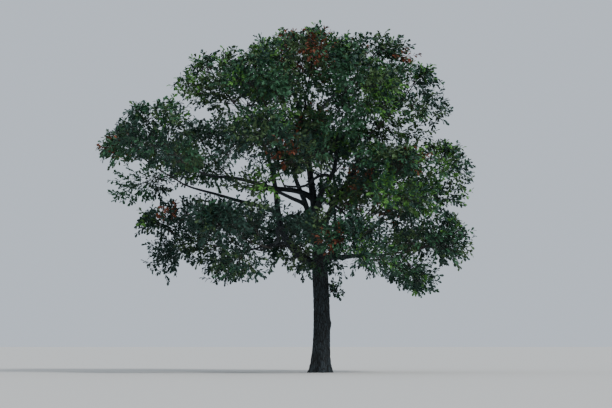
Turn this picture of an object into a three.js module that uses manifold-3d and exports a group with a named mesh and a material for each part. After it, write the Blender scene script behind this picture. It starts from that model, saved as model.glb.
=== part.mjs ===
// An open-grown oak: one bole, a round crown 9 m high and 10 m across, and clear sky between its masses of leaves.
// Millimetres, +Z up. The origin is the middle of the flat cut at ground level, and the tree is seen along +Y.
import * as THREE from "three";
import { mergeVertices } from "three/addons/utils/BufferGeometryUtils.js";
import Module from "manifold-3d";

const wasm = await Module();
wasm.setup();

// The bole, and the leader that carries it on through the crown
const forkHeight = 2750;
const leaderTop = 7300;
const boleRadius = 222;
const boleTaper = 0.006;
const leaderRadius = 132;
const leaderBlend = 700;
const bowRight = 55;
const leanCurve = 1.7e-5;
const sway = 70;
const swayHeight = 3100;
const flareRadius = 95;
const flareHeight = 300;
const rootRidges = 5;
const ridgeDepth = 0.16;
const ridgeHeight = 520;

// Boughs
const tipRadius = 21;
const slimness = 0.0165;
const collar = 0.3;
const crook = 0.03;
const runWeight = 0.42;
const turnWeight = 0.5;
const entryDepths = [0.82, 0.6, 0.4];
const shortestBough = 450;
const siblingSpace = 240;
const lowestFork = 2850;
const thinnestParent = 0.85;
const thickestChild = 0.8;

// Room between neighbours
const jointGap = 0.4;
const limbGap = 6;
const boughSpace = 60;
const beadStep = 30;
const middleShare = 0.35;
const crossingCost = 700;
const massGap = 8;
// Edges shorter than this are closed up
const finest = 0.05;

// Branches and blades inside a mass of leaves; each blade stands for a leafy spray
const goldenAngle = THREE.MathUtils.degToRad(137.5);
const branchesPerMass = 6;
const twigsPerBranch = 7;
const bladesPerBranch = 3;
const branchReach = 0.36;
const longestBranch = 900;
const shortestBranch = 120;
const longestTwig = 1150;
const shortestTwig = 260;
const bladeWidth = 0.69;
const bladeThickness = 0.012;
const bladeSizes = [1, 0.85, 0.7, 0.55];
const bladeRoot = 6;
const branchRoot = 25;
const stemNeck = 30;

// The main boughs that the trunk carries. Each feeds the mass it names: where it leaves the trunk, how thick it is
// there, its rise in degrees where it starts and where it ends, and how far each end runs straight on, as a share
const mainBoughs = [
  { feeds: "shoulder_4", from: 2700, radius: 112, riseOut: 25, riseIn: 56, runOut: 0.36, runIn: 0.32 },
  { feeds: "low_right_2", from: 2920, radius: 84, riseOut: 16, riseIn: 8, runOut: 0.35, runIn: 0.3 },
  { feeds: "shoulder_3", from: 3350, radius: 96, riseOut: 36, riseIn: 60, runOut: 0.38, runIn: 0.34 },
  { feeds: "shoulder_1", from: 3700, radius: 96, riseOut: 38, riseIn: 52, runOut: 0.36, runIn: 0.34 },
  { feeds: "shoulder_6", from: 4150, radius: 84, riseOut: 34, riseIn: 62, runOut: 0.38, runIn: 0.34 },
];

// Fans of leaf masses round the trunk. Azimuths in degrees, 0 to the right and 90 away from the viewer. sink is how far
// the fan's outer masses lie below its middle one, and shift moves the whole fan to the right
const fans = [
  { name: "heart", count: 3, middle: -36, step: 89, reach: 1120, height: 4840, sink: -600, shift: 190, across: 1220, deep: 1090 },
  { name: "top", count: 3, middle: 20, step: 122, reach: 1200, height: 7920, sink: 20, shift: 70, across: 1270, deep: 900 },
  { name: "shoulder", count: 6, middle: 174, step: 61, reach: 2230, height: 7190, sink: 200, shift: -180, across: 1340, deep: 1120 },
  { name: "side_left", count: 3, middle: 170, step: 42, reach: 4320, height: 5450, sink: -290, shift: -180, across: 1350, deep: 1210 },
  { name: "side_right", count: 3, middle: -3, step: 49, reach: 2360, height: 4770, sink: 290, shift: 130, across: 1580, deep: 1360 },
  { name: "middle", count: 2, middle: 79, step: 183, reach: 2910, height: 5590, sink: 90, shift: -500, across: 1550, deep: 1170 },
  { name: "skirt", count: 2, middle: 97, step: 170, reach: 2260, height: 3350, sink: 50, shift: -440, across: 1380, deep: 880 },
  { name: "low_left", count: 3, middle: 183, step: 50, reach: 3290, height: 3400, sink: 0, shift: 0, across: 1500, deep: 1130 },
  { name: "low_right", count: 3, middle: -20, step: 56, reach: 2710, height: 3180, sink: 120, shift: 40, across: 1240, deep: 1150 },
];
// The leader's own mass, at the very top
const crest = { x: -420, height: 8120, across: 1000, deep: 800 };
// A tuft that grows straight from the bole, with its stem rooted a little way in before the bole is cut out of it
const tuft = { x: 330, height: 2080, from: 1990, rootedIn: 12, across: 170, deep: 190 };

const foliage = new THREE.MeshStandardMaterial({ color: 0x3a4a26, roughness: 0.7, metalness: 0 });
const bark = new THREE.MeshStandardMaterial({ color: 0x3b3833, roughness: 0.9, metalness: 0 });
const up = new THREE.Vector3(0, 0, 1);

// A number from 0 to 1 that belongs to the thing that the marks name
function chance(...marks) {
  let h = 2166136261;
  for (const mark of marks) {
    h = Math.imul(h ^ mark, 2654435761) >>> 0;
    h = Math.imul(h ^ (h >>> 15), 2246822507) >>> 0;
    h = (h ^ (h >>> 13)) >>> 0;
  }
  return h / 4294967296;
}

const between = (low, high, share) => low + (high - low) * share;

function smooth(low, high, value) {
  const share = Math.min(Math.max((value - low) / (high - low), 0), 1);
  return share * share * (3 - 2 * share);
}

function heading(azimuth, rise) {
  return new THREE.Vector3(Math.cos(azimuth) * Math.cos(rise), Math.sin(azimuth) * Math.cos(rise), Math.sin(rise));
}

// A unit vector square to the first, as near to the second as can be
function squareTo(direction, wanted) {
  return wanted.clone().addScaledVector(direction, -wanted.dot(direction)).normalize();
}

// The direction that leaves an axis at an angle, turned round it from the upward side
function leaning(axis, angle, turn) {
  const side = squareTo(axis, Math.abs(axis.z) > 0.95 ? new THREE.Vector3(1, 0, 0) : up);
  side.applyAxisAngle(axis, turn);
  return axis.clone().multiplyScalar(Math.cos(angle)).addScaledVector(side, Math.sin(angle));
}

// The trunk's middle line bows to the right below the fork, and leans left and curves above it
function trunkCentre(z) {
  const below = Math.min(z, forkHeight) / forkHeight;
  const above = Math.max(z - forkHeight, 0);
  const lean = (Math.PI * bowRight) / forkHeight;
  return new THREE.Vector3(
    bowRight * Math.sin(Math.PI * below) - lean * above - leanCurve * above * above,
    sway * Math.sin((Math.PI * z) / swayHeight) * smooth(0, forkHeight, z),
    z,
  );
}

function trunkRadius(z) {
  const bole = boleRadius - boleTaper * z + flareRadius * Math.exp(-z / flareHeight);
  const left = Math.max(leaderTop - z, 0) / (leaderTop - forkHeight);
  const leader = tipRadius + (leaderRadius - tipRadius) * Math.pow(left, 0.85);
  return between(bole, leader, smooth(forkHeight - 50, forkHeight + leaderBlend, z));
}

// A limb is its middle line with a radius at each point, and the length of wood from the ground to each point
function limbFrom(name, points, radii, firstRun) {
  const runs = [firstRun];
  for (let i = 1; i < points.length; i++) runs.push(runs[i - 1] + points[i].distanceTo(points[i - 1]));
  return { name, points, radii, runs, forks: [] };
}

function makeTrunk() {
  const heights = [0, 130, 330, 650, 1250, 2000, 2700, 3050, 3500, 4200, 5000, 5800, 6600, leaderTop];
  return limbFrom("trunk", heights.map(trunkCentre), heights.map(trunkRadius), 0);
}

// A bough is one cubic curve with a slight crook in it
function makeBough(mass, start, end, out, into, reachOut, reachIn, rootRadius, firstRun) {
  const span = start.distanceTo(end);
  const curve = new THREE.CubicBezierCurve3(
    start,
    start.clone().addScaledVector(out, span * reachOut),
    end.clone().addScaledVector(into, -span * reachIn),
    end,
  );
  const along = end.clone().sub(start).normalize();
  const sideways = squareTo(along, new THREE.Vector3(along.y, -along.x, 0.3));
  const upwards = along.clone().cross(sideways);
  const steps = Math.max(3, Math.min(7, Math.round(span / 520)));
  const points = [];
  const radii = [];
  for (let i = 0; i <= steps; i++) {
    const t = i / steps;
    const swing = span * crook * Math.sin(Math.PI * t);
    const point = curve.getPoint(t);
    point.addScaledVector(sideways, swing * Math.sin(2 * Math.PI * (1.4 * t + chance(mass.mark, 1))));
    point.addScaledVector(upwards, swing * Math.sin(2 * Math.PI * (1.1 * t + chance(mass.mark, 2))));
    points.push(point);
    const swell = 1 + collar * Math.exp((-t * span) / (1.6 * rootRadius));
    radii.push((tipRadius + (rootRadius - tipRadius) * Math.pow(1 - t, 0.9)) * swell);
  }
  return limbFrom(`bough_${mass.name}`, points, radii, firstRun);
}

// How far an ellipsoid reaches along a direction
function supportOf(mass, direction) {
  return Math.hypot(mass.across * direction.x, mass.across * direction.y, mass.deep * direction.z);
}

// A mass's space is its ellipsoid, cut by a plane wherever it would run into a neighbour's
function shareSpace(masses) {
  masses.forEach((a, i) =>
    masses.slice(i + 1).forEach((b) => {
      const towards = b.centre.clone().sub(a.centre);
      const apart = towards.length();
      towards.divideScalar(apart);
      const [reachA, reachB] = [supportOf(a, towards), supportOf(b, towards)];
      if (apart > reachA + reachB + 2 * massGap) return;
      const wall = a.centre.dot(towards) + (apart * reachA) / (reachA + reachB);
      a.walls.push({ normal: towards, limit: wall - massGap });
      b.walls.push({ normal: towards.clone().negate(), limit: -wall - massGap });
    }),
  );
}

function insideSpace(mass, point) {
  const [x, y, z] = [point.x - mass.centre.x, point.y - mass.centre.y, point.z - mass.centre.z];
  if ((x * x + y * y) / mass.across ** 2 + (z * z) / mass.deep ** 2 > 1) return false;
  return mass.walls.every((wall) => wall.normal.dot(point) < wall.limit);
}

// How far a straight line from a point inside a mass's space runs before it leaves
function roomAhead(mass, from, direction) {
  const scale = new THREE.Vector3(1 / mass.across, 1 / mass.across, 1 / mass.deep);
  const p = from.clone().sub(mass.centre).multiply(scale);
  const d = direction.clone().multiply(scale);
  const [a, b, c] = [d.dot(d), p.dot(d), p.dot(p) - 1];
  const root = b * b - a * c;
  let room = root > 0 ? (-b + Math.sqrt(root)) / a : 0;
  for (const wall of mass.walls) {
    const rate = wall.normal.dot(direction);
    if (rate > 1e-9) room = Math.min(room, (wall.limit - wall.normal.dot(from)) / rate);
  }
  return Math.max(room, 0);
}

function makeMasses() {
  const masses = [];
  const add = (name, x, y, z, across, deep) =>
    masses.push({ name, mark: masses.length + 1, centre: new THREE.Vector3(x, y, z), across, deep, walls: [] });
  for (const fan of fans) {
    for (let i = 0; i < fan.count; i++) {
      const turn = (i - Math.floor(fan.count / 2)) * fan.step;
      const azimuth = THREE.MathUtils.degToRad(fan.middle + turn);
      const outer = Math.min(Math.abs(turn) / 50, 1.6);
      add(
        `${fan.name}_${i + 1}`,
        fan.shift + fan.reach * Math.cos(azimuth),
        fan.reach * Math.sin(azimuth),
        fan.height - fan.sink * outer,
        fan.across,
        fan.deep,
      );
    }
  }
  add("crest", crest.x, 0, crest.height, crest.across, crest.deep);
  add("tuft", tuft.x, 0, tuft.height, tuft.across, tuft.deep);
  shareSpace(masses);
  return masses;
}

// Where a bough enters a mass: on the side that faces the tree's heart, from a little below
function entryOf(mass, depth) {
  const flat = Math.hypot(mass.centre.x, mass.centre.y);
  const source = trunkCentre(Math.min(Math.max(forkHeight, mass.centre.z - 1.1 * flat), leaderTop));
  const inward = source.sub(mass.centre).normalize();
  const point = mass.centre.clone().addScaledVector(inward, depth * roomAhead(mass, mass.centre, inward));
  return { point, inward };
}

// The least room between a point and the bark of any limb
function clearOf(limbs, point) {
  const nearest = new THREE.Vector3();
  const line = new THREE.Line3();
  let room = Infinity;
  for (const limb of limbs) {
    for (let i = 1; i < limb.points.length; i++) {
      line.set(limb.points[i - 1], limb.points[i]);
      line.closestPointToPoint(point, true, nearest);
      room = Math.min(room, nearest.distanceTo(point) - Math.max(limb.radii[i - 1], limb.radii[i]));
    }
  }
  return room;
}

// Places on the limbs from which wood could reach a point, the shortest run with the easiest turn first
function forksFor(limbs, point) {
  const found = [];
  for (const limb of limbs) {
    for (let i = 1; i < limb.points.length - 1; i++) {
      const axis = limb.points[i + 1].clone().sub(limb.points[i]).normalize();
      for (const share of [0, 1 / 3, 2 / 3]) {
        const at = limb.points[i].clone().lerp(limb.points[i + 1], share);
        const radius = between(limb.radii[i], limb.radii[i + 1], share);
        const run = between(limb.runs[i], limb.runs[i + 1], share);
        const taken = limb.forks.some((fork) => fork.distanceTo(at) < siblingSpace);
        const towards = point.clone().sub(at);
        const span = towards.length();
        const wanted = tipRadius + slimness * span;
        if (taken || span < shortestBough || at.z < lowestFork || radius < thinnestParent * wanted) continue;
        const turn = 1 - axis.dot(towards) / span;
        const cost = span * (1 + turnWeight * turn) + runWeight * run;
        found.push({ cost, limb, at, axis, run, rootRadius: Math.min(wanted, radius * thickestChild) });
      }
    }
  }
  return found.sort((a, b) => a.cost - b.cost);
}

// A bough keeps off every other limb, and off its parent once it has left it
function boughIsFree(bough, parent, limbs) {
  const others = limbs.filter((limb) => limb !== parent);
  for (let i = 0; i < bough.points.length - 1; i++) {
    for (const share of [0, 0.25, 0.5, 0.75]) {
      const point = bough.points[i].clone().lerp(bough.points[i + 1], share);
      const need = bough.radii[i] + boughSpace;
      const offParent = clearOf([parent], point);
      if (offParent > 0 && clearOf(others, point) < need) return false;
      if (point.distanceTo(bough.points[0]) > 450 && offParent < need) return false;
    }
  }
  return true;
}

// How often a bough runs through the middle of a mass that it doesn't feed
function crossings(bough, own, masses) {
  const inMiddle = (mass, point) => {
    const [x, y, z] = [point.x - mass.centre.x, point.y - mass.centre.y, point.z - mass.centre.z];
    return (x * x + y * y) / mass.across ** 2 + (z * z) / mass.deep ** 2 < middleShare;
  };
  return masses.filter((mass) => mass !== own && bough.points.some((point) => inMiddle(mass, point))).length;
}

// The cheapest free bough that reaches into a mass, or nothing
function bestBough(mass, depth, limbs, masses) {
  const { point, inward } = entryOf(mass, depth);
  let best = null;
  for (const fork of forksFor(limbs, point)) {
    if (best && fork.cost > best.cost) break;
    const towards = point.clone().sub(fork.at).normalize();
    const out = fork.axis.clone().multiplyScalar(0.55).add(towards).normalize();
    const into = towards.clone().addScaledVector(inward, -0.7).addScaledVector(up, 0.25).normalize();
    const bough = makeBough(mass, fork.at, point, out, into, 0.33, 0.33, fork.rootRadius, fork.run);
    if (!boughIsFree(bough, fork.limb, limbs)) continue;
    const cost = fork.cost + crossingCost * crossings(bough, mass, masses);
    if (!best || cost < best.cost) best = { cost, bough, parent: fork.limb };
  }
  return best;
}

function makeBoughs(trunk, masses) {
  const limbs = [trunk];
  const keep = (bough, parent, mass) => {
    bough.parent = parent;
    parent.forks.push(bough.points[0]);
    mass.bough = bough;
    limbs.push(bough);
  };
  for (const main of mainBoughs) {
    const mass = masses.find((m) => m.name === main.feeds);
    const start = trunkCentre(main.from);
    const { point } = entryOf(mass, entryDepths[0]);
    const azimuth = Math.atan2(point.y - start.y, point.x - start.x);
    const out = heading(azimuth, THREE.MathUtils.degToRad(main.riseOut));
    const into = heading(azimuth, THREE.MathUtils.degToRad(main.riseIn));
    keep(makeBough(mass, start, point, out, into, main.runOut, main.runIn, main.radius, main.from), trunk, mass);
  }
  const waiting = masses.filter((m) => !m.bough && m.name !== "crest" && m.name !== "tuft");
  const fork = trunkCentre(forkHeight);
  waiting.sort((a, b) => a.centre.distanceTo(fork) - b.centre.distanceTo(fork));
  for (const mass of waiting) {
    const best = entryDepths.reduce((found, depth) => found ?? bestBough(mass, depth, limbs, masses), null);
    if (!best) throw new Error(`no place on the limbs reaches ${mass.name}`);
    keep(best.bough, best.parent, mass);
  }
  for (const mass of masses) {
    const fed = mass.bough ?? trunk;
    mass.aim = fed.points.at(-1).clone().sub(fed.points.at(-2)).normalize();
    mass.start = fed.points.at(-1).clone().addScaledVector(mass.aim, jointGap);
    if (mass.name !== "tuft") continue;
    mass.aim = new THREE.Vector3(1, 0, 0.25).normalize();
    mass.start = trunkCentre(tuft.from).addScaledVector(mass.aim, trunkRadius(tuft.from) - tuft.rootedIn);
    mass.grownFrom = trunk;
  }
  return limbs;
}

// A limb as a row of beads, close enough together to measure room against
function beadsOf(limb) {
  const beads = [];
  for (let i = 1; i < limb.points.length; i++) {
    const count = Math.ceil(limb.points[i].distanceTo(limb.points[i - 1]) / beadStep);
    for (let n = 0; n < count; n++) {
      const share = (n + 0.5) / count;
      beads.push({
        centre: limb.points[i - 1].clone().lerp(limb.points[i], share),
        radius: between(limb.radii[i - 1], limb.radii[i], share),
      });
    }
  }
  return beads;
}

// How far a shoot can run from a point inside a mass before it leaves the space or touches a limb
function reachAhead(mass, beads, from, direction, thickness) {
  let reach = roomAhead(mass, from, direction);
  for (const { centre, radius } of beads) {
    const offset = centre.clone().sub(from);
    const along = offset.dot(direction);
    const spare = (radius + thickness + limbGap) ** 2 - (offset.lengthSq() - along * along);
    if (along > 0 && spare > 0) reach = Math.min(reach, along - Math.sqrt(spare));
  }
  return Math.max(reach, 0);
}

// A leafy mass grows from one stem: branches round it by the golden angle, and twigs on both sides of each branch. What
// would leave the mass's space or touch a limb is cut short, or isn't grown
function growMass(mass, beads) {
  const { start, aim } = mass;
  const size = Math.min(mass.across / 1100, 1);
  const stemRadius = tipRadius * size;
  const neck = start.clone().addScaledVector(aim, stemNeck);
  const across = mass.centre.clone().sub(neck).normalize();
  const toHeart = Math.min(neck.distanceTo(mass.centre), reachAhead(mass, beads, neck, across, stemRadius) - 20);
  const heart = neck.clone().addScaledVector(across, toHeart);
  const ahead = across.clone().addScaledVector(up, 0.25).normalize();
  const end = heart.clone().addScaledVector(ahead, 0.72 * reachAhead(mass, beads, heart, ahead, stemRadius));
  const stem = { points: [start, neck, heart, end], from: stemRadius, to: stemRadius * 0.7 };
  const bend = toHeart / (toHeart + heart.distanceTo(end));
  const branches = [];
  const twigs = [];
  for (let k = 0; k < branchesPerMass; k++) {
    const last = k === branchesPerMass - 1;
    const t = last ? 1 - branchRoot / (toHeart + heart.distanceTo(end)) : between(0.12, 0.9, k / (branchesPerMass - 2));
    const root = t < bend ? neck.clone().lerp(heart, t / bend) : heart.clone().lerp(end, (t - bend) / (1 - bend));
    const axis = t < bend ? across : ahead;
    const turn = k * goldenAngle + 2 * Math.PI * chance(mass.mark, 3);
    const angle = last ? 0.2 : between(1.35, 0.75, t) + 0.3 * (chance(mass.mark, 4, k) - 0.5);
    const out = leaning(axis, angle, turn).addScaledVector(up, 0.1).normalize();
    const branchRadius = stemRadius * 0.52;
    const length = Math.min(branchReach * reachAhead(mass, beads, root, out, branchRadius), longestBranch);
    if (length < shortestBranch * size) continue;
    const far = root.clone().addScaledVector(out, length);
    branches.push({ points: [root, far], from: branchRadius, to: branchRadius * 0.85, k });
    for (let j = 0; j < twigsPerBranch; j++) {
      const share = between(0.3, 1 - bladeRoot / length, j / (twigsPerBranch - 1));
      const foot = root.clone().lerp(far, share);
      const side = j % 2 ? 0.5 : 1.5;
      const twigTurn = side * Math.PI + 1.1 * (chance(mass.mark, 6, k, j) - 0.5);
      const twigAngle = j === twigsPerBranch - 1 ? 0.1 : 0.85 + 0.35 * (chance(mass.mark, 7, k, j) - 0.5);
      const direction = leaning(out, twigAngle, twigTurn);
      const room = 0.97 * reachAhead(mass, beads, foot, direction, 10);
      const twigLength = Math.min(room, longestTwig * size * between(0.75, 1, chance(mass.mark, 8, k, j)));
      const roll = Math.PI * (chance(mass.mark, 9, k, j) - 0.5);
      if (twigLength > shortestTwig * size) twigs.push({ foot, direction, length: twigLength, roll, k, j });
    }
  }
  return { stem, branches, twigs };
}

// The corners of a spray: its root, its tip, a shoulder on either side, and the top of its midrib near the root
function sprayCorners(twig) {
  const flat = squareTo(twig.direction, Math.abs(twig.direction.z) > 0.95 ? new THREE.Vector3(1, 0, 0) : up);
  flat.applyAxisAngle(twig.direction, twig.roll);
  const wide = flat.clone().cross(twig.direction);
  const at = (along, sideways, raised) =>
    twig.foot.clone()
      .addScaledVector(twig.direction, along * twig.length)
      .addScaledVector(wide, sideways * twig.length)
      .addScaledVector(flat, raised * twig.length);
  return {
    root: twig.foot,
    tip: at(1, 0, 0),
    left: at(0.55, bladeWidth / 2, 0),
    right: at(0.55, -bladeWidth / 2, 0),
    rib: at(0.25, 0, bladeThickness),
    vein: at(0.55, 0, 0),
  };
}

function sprayFits(mass, beads, { root, tip, left, right }) {
  if (![root, tip, left, right].every((corner) => insideSpace(mass, corner))) return false;
  const nearest = new THREE.Vector3();
  const halves = [new THREE.Triangle(root, left, tip), new THREE.Triangle(root, tip, right)];
  return halves.every((half) =>
    beads.every(({ centre, radius }) => {
      half.closestPointToPoint(centre, nearest);
      return nearest.distanceTo(centre) > radius + limbGap + beadStep / 3;
    }),
  );
}

// A solid from a closed three.js geometry
function solidOf(geometry) {
  const bare = new THREE.BufferGeometry().setAttribute("position", geometry.getAttribute("position"));
  bare.setIndex(geometry.index);
  const merged = mergeVertices(bare, 1e-4);
  return new wasm.Manifold(
    new wasm.Mesh({
      numProp: 3,
      vertProperties: new Float32Array(merged.attributes.position.array),
      triVerts: new Uint32Array(merged.index.array),
    }),
  );
}

// A closed round tube with its own radius at each point of its middle line: a cylinder bent along it
function tube(points, radii, sides, section = () => 1, firstAxis = null) {
  const steps = points.length - 1;
  const axes = points.map((p, i) =>
    points[Math.min(i + 1, steps)].clone().sub(points[Math.max(i - 1, 0)]).normalize(),
  );
  if (firstAxis) axes[0] = firstAxis;
  const normals = [squareTo(axes[0], new THREE.Vector3(1, 0.02, 0.01))];
  for (let i = 1; i <= steps; i++) normals.push(squareTo(axes[i], normals[i - 1]));
  const geometry = new THREE.CylinderGeometry(1, 1, 1, sides, steps);
  const place = geometry.getAttribute("position");
  for (let v = 0; v < place.count; v++) {
    const i = Math.round((0.5 + place.getY(v)) * steps);
    const [x, y] = [place.getX(v), -place.getZ(v)];
    const size = radii[i] * section(Math.atan2(y, x), points[i].z);
    const point = points[i].clone()
      .addScaledVector(normals[i], x * size)
      .addScaledVector(axes[i].clone().cross(normals[i]), y * size);
    place.setXYZ(v, point.x, point.y, point.z);
  }
  return geometry;
}

function limbTube(limb, grow = 0) {
  const radii = limb.radii.map((r) => r + grow);
  if (limb.name !== "trunk") return tube(limb.points, radii, limb.radii[0] > 70 ? 7 : 5);
  const ridges = (angle, z) => 1 + ridgeDepth * Math.exp(-z / ridgeHeight) * Math.cos(rootRidges * angle + 0.6);
  return tube(limb.points, radii, 15, ridges, up);
}

// A spray's blade is flat below, with a low midrib above
function sprayBlade({ root, tip, left, right, rib, vein }) {
  const blade = new THREE.OctahedronGeometry(1);
  const place = blade.getAttribute("position");
  for (let v = 0; v < place.count; v++) {
    const [x, y, z] = [place.getX(v), place.getY(v), place.getZ(v)].map(Math.round);
    const corner = x > 0 ? tip : x < 0 ? root : y > 0 ? left : y < 0 ? right : z > 0 ? rib : vein;
    place.setXYZ(v, corner.x, corner.y, corner.z);
  }
  return blade;
}

function meshOf(name, solid, material) {
  const { numProp, vertProperties, triVerts } = solid.getMesh();
  const position = new Float32Array((vertProperties.length / numProp) * 3);
  for (let v = 0; v * numProp < vertProperties.length; v++) {
    position.set(vertProperties.subarray(v * numProp, v * numProp + 3), v * 3);
  }
  const geometry = new THREE.BufferGeometry();
  geometry.setAttribute("position", new THREE.BufferAttribute(position, 3));
  geometry.setIndex(new THREE.BufferAttribute(new Uint32Array(triVerts), 1));
  const mesh = new THREE.Mesh(geometry, material);
  mesh.name = name;
  return mesh;
}

// The largest of the pieces that a solid is in, so that no scrap is left
function largestOf(solid) {
  return solid.decompose().reduce((a, b) => (b.volume() > a.volume() ? b : a));
}

function limbMesh(limb) {
  let solid = solidOf(limbTube(limb));
  if (limb.parent) solid = largestOf(solid.subtract(solidOf(limbTube(limb.parent, jointGap)))).simplify(finest);
  return meshOf(limb.name, solid, bark);
}

// Blades are placed from the ends of the branches inwards, so that the outline is filled first
const placeOf = (twig) => (((twigsPerBranch - 1 - twig.j) * 2) % twigsPerBranch) + twig.k / 100;

// The rolls and sizes that a blade is tried at, until it fits its place
const bladeOptions = bladeSizes.flatMap((size) => [0, 1, 2].map((n) => ({ size, roll: (n * Math.PI) / 3 })));

// The first of a twig's blades that fits its space and stands clear of the others, or nothing
function bladeFor(mass, beads, twig, others) {
  for (const { size, roll } of bladeOptions) {
    const corners = sprayCorners({ ...twig, length: twig.length * size, roll: twig.roll + roll });
    if (!sprayFits(mass, beads, corners)) continue;
    const solid = solidOf(sprayBlade(corners)).simplify(finest / 5);
    if (others.every((other) => solid.minGap(other, massGap) >= massGap)) return solid;
  }
  return null;
}

// A leafy mass is one solid: its stem, its branches, and up to so many blades on each branch
function massMesh(mass, allBeads) {
  const near = ({ centre, radius }) => centre.distanceTo(mass.centre) < mass.across + radius + beadStep;
  const beads = allBeads.filter(near);
  const { stem, branches, twigs } = growMass(mass, beads);
  const wood = [stem, ...branches].map((piece) => {
    const steps = piece.points.length - 1;
    const radii = piece.points.map((_, i) => between(piece.from, piece.to, i / steps));
    return { k: piece.k, solid: solidOf(tube(piece.points, radii, 3)).simplify(finest / 5) };
  });
  const blades = [];
  for (const twig of twigs.sort((a, b) => placeOf(a) - placeOf(b))) {
    if (blades.filter((blade) => blade.k === twig.k).length === bladesPerBranch) continue;
    const others = [...wood.filter((piece) => piece.k !== twig.k), ...blades].map((piece) => piece.solid);
    const solid = bladeFor(mass, beads, twig, others);
    if (solid) blades.push({ k: twig.k, solid });
  }
  let whole = wasm.Manifold.union([...wood, ...blades].map((piece) => piece.solid));
  if (mass.grownFrom) whole = whole.subtract(solidOf(limbTube(mass.grownFrom, jointGap)));
  return meshOf(`leaves_${mass.name}`, largestOf(whole).simplify(finest), foliage);
}

const trunk = makeTrunk();
const masses = makeMasses();
const limbs = makeBoughs(trunk, masses);
const tree = new THREE.Group();
tree.name = "oak";
for (const limb of limbs) tree.add(limbMesh(limb));
const beads = limbs.flatMap(beadsOf);
for (const mass of masses) tree.add(massMesh(mass, beads));

export default tree;
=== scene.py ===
# An open-grown oak, whole: bole, boughs, twigs and leaves. Metres, +Z up. The origin is the middle of the
# flat cut under the trunk, and the tree is seen along +Y.
import math
from types import SimpleNamespace as Thing

import bpy
import numpy as np
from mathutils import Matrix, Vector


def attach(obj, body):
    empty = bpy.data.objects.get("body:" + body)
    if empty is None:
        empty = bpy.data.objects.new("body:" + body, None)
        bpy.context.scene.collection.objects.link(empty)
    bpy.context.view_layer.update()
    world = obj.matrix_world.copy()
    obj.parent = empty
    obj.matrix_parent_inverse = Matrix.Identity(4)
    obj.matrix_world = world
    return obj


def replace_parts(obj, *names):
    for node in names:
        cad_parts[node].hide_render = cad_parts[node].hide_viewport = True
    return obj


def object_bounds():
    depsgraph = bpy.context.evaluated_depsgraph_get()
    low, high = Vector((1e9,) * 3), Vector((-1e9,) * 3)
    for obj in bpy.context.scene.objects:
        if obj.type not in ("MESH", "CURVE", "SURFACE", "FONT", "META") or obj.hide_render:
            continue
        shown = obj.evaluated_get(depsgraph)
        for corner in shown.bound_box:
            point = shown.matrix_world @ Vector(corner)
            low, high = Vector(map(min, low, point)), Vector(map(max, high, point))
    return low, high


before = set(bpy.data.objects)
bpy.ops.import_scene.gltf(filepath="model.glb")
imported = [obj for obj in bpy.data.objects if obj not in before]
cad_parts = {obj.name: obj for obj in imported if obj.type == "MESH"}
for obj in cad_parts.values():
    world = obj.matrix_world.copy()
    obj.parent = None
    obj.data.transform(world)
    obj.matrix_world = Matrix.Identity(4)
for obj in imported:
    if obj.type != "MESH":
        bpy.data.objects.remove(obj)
cad_box = [list(corner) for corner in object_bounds()]

# Trunk: a living stem of oak wood under bark. The bole bows a little to the right, and above the fork it
# goes on as a leader through the crown. It flares into five root ridges, and a closed wound has left a burl
# on its right side.
fork_height = 2.75
leader_top = 7.3
bole_radius = 0.222
bole_taper = 0.006
leader_radius = 0.132
leader_blend = 0.7
blend_below = 0.05
leader_curve = 0.85
bow_right = 0.055
lean_curve = 0.017
sway = 0.07
sway_height = 3.1
flare_radius = 0.095
flare_height = 0.3
root_ridges = 5
ridge_turn = 0.6
ridge_depth = 0.16
ridge_height = 0.52
tip_radius = 0.021
level_height = 0.6
burl = Thing(height=1.25, angle=-0.25, out=0.04, size=0.1)
up = np.array([0.0, 0.0, 1.0])
right = np.array([1.0, 0.0, 0.0])
bark_start = np.array([1, 0.02, 0.01])
grain_shift = np.array([0, 0, 3.7])


def unit(v):
    return v / np.linalg.norm(v, axis=-1, keepdims=True)


def dot(a, b):
    return (a * b).sum(-1)


# A unit vector square to the first, as near to the second as can be
def square_to(direction, wanted):
    return unit(wanted - direction * dot(wanted, direction)[..., None])


def smooth(low, high, value):
    share = np.clip((value - low) / (high - low), 0, 1)
    return share * share * (3 - 2 * share)


def between(low, high, share):
    return low + (high - low) * share


def trunk_centre(z):
    z = np.asarray(z, float)
    above = np.maximum(z - fork_height, 0)
    bow = bow_right * np.sin(math.pi * np.minimum(z, fork_height) / fork_height)
    x = bow - math.pi * bow_right / fork_height * above - lean_curve * above**2
    return np.stack([x, sway * np.sin(math.pi * z / sway_height) * smooth(0, fork_height, z), z], -1)


def trunk_radius(z):
    bole = bole_radius - bole_taper * z + flare_radius * np.exp(-z / flare_height)
    left = np.maximum(leader_top - z, 0) / (leader_top - fork_height)
    leader = tip_radius + (leader_radius - tip_radius) * left**leader_curve
    return between(bole, leader, smooth(fork_height - blend_below, fork_height + leader_blend, z))


def root_section(angle, z):
    ridges = ridge_depth * np.exp(-z / ridge_height) * np.cos(root_ridges * angle + ridge_turn)
    off = ((angle - burl.angle) * bole_radius) ** 2 + (z - burl.height) ** 2
    return 1 + ridges + burl.out / bole_radius * np.exp(-off / burl.size**2)


# The triangles of a tube's wall, from ring to ring
def wall_faces(rings, sides):
    ring, side = np.meshgrid(np.arange(rings - 1), np.arange(sides), indexing="ij")
    a, b = (ring * sides + side).ravel(), (ring * sides + (side + 1) % sides).ravel()
    return np.concatenate([np.stack([a, b, b + sides], 1), np.stack([a, b + sides, a + sides], 1)])


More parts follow.
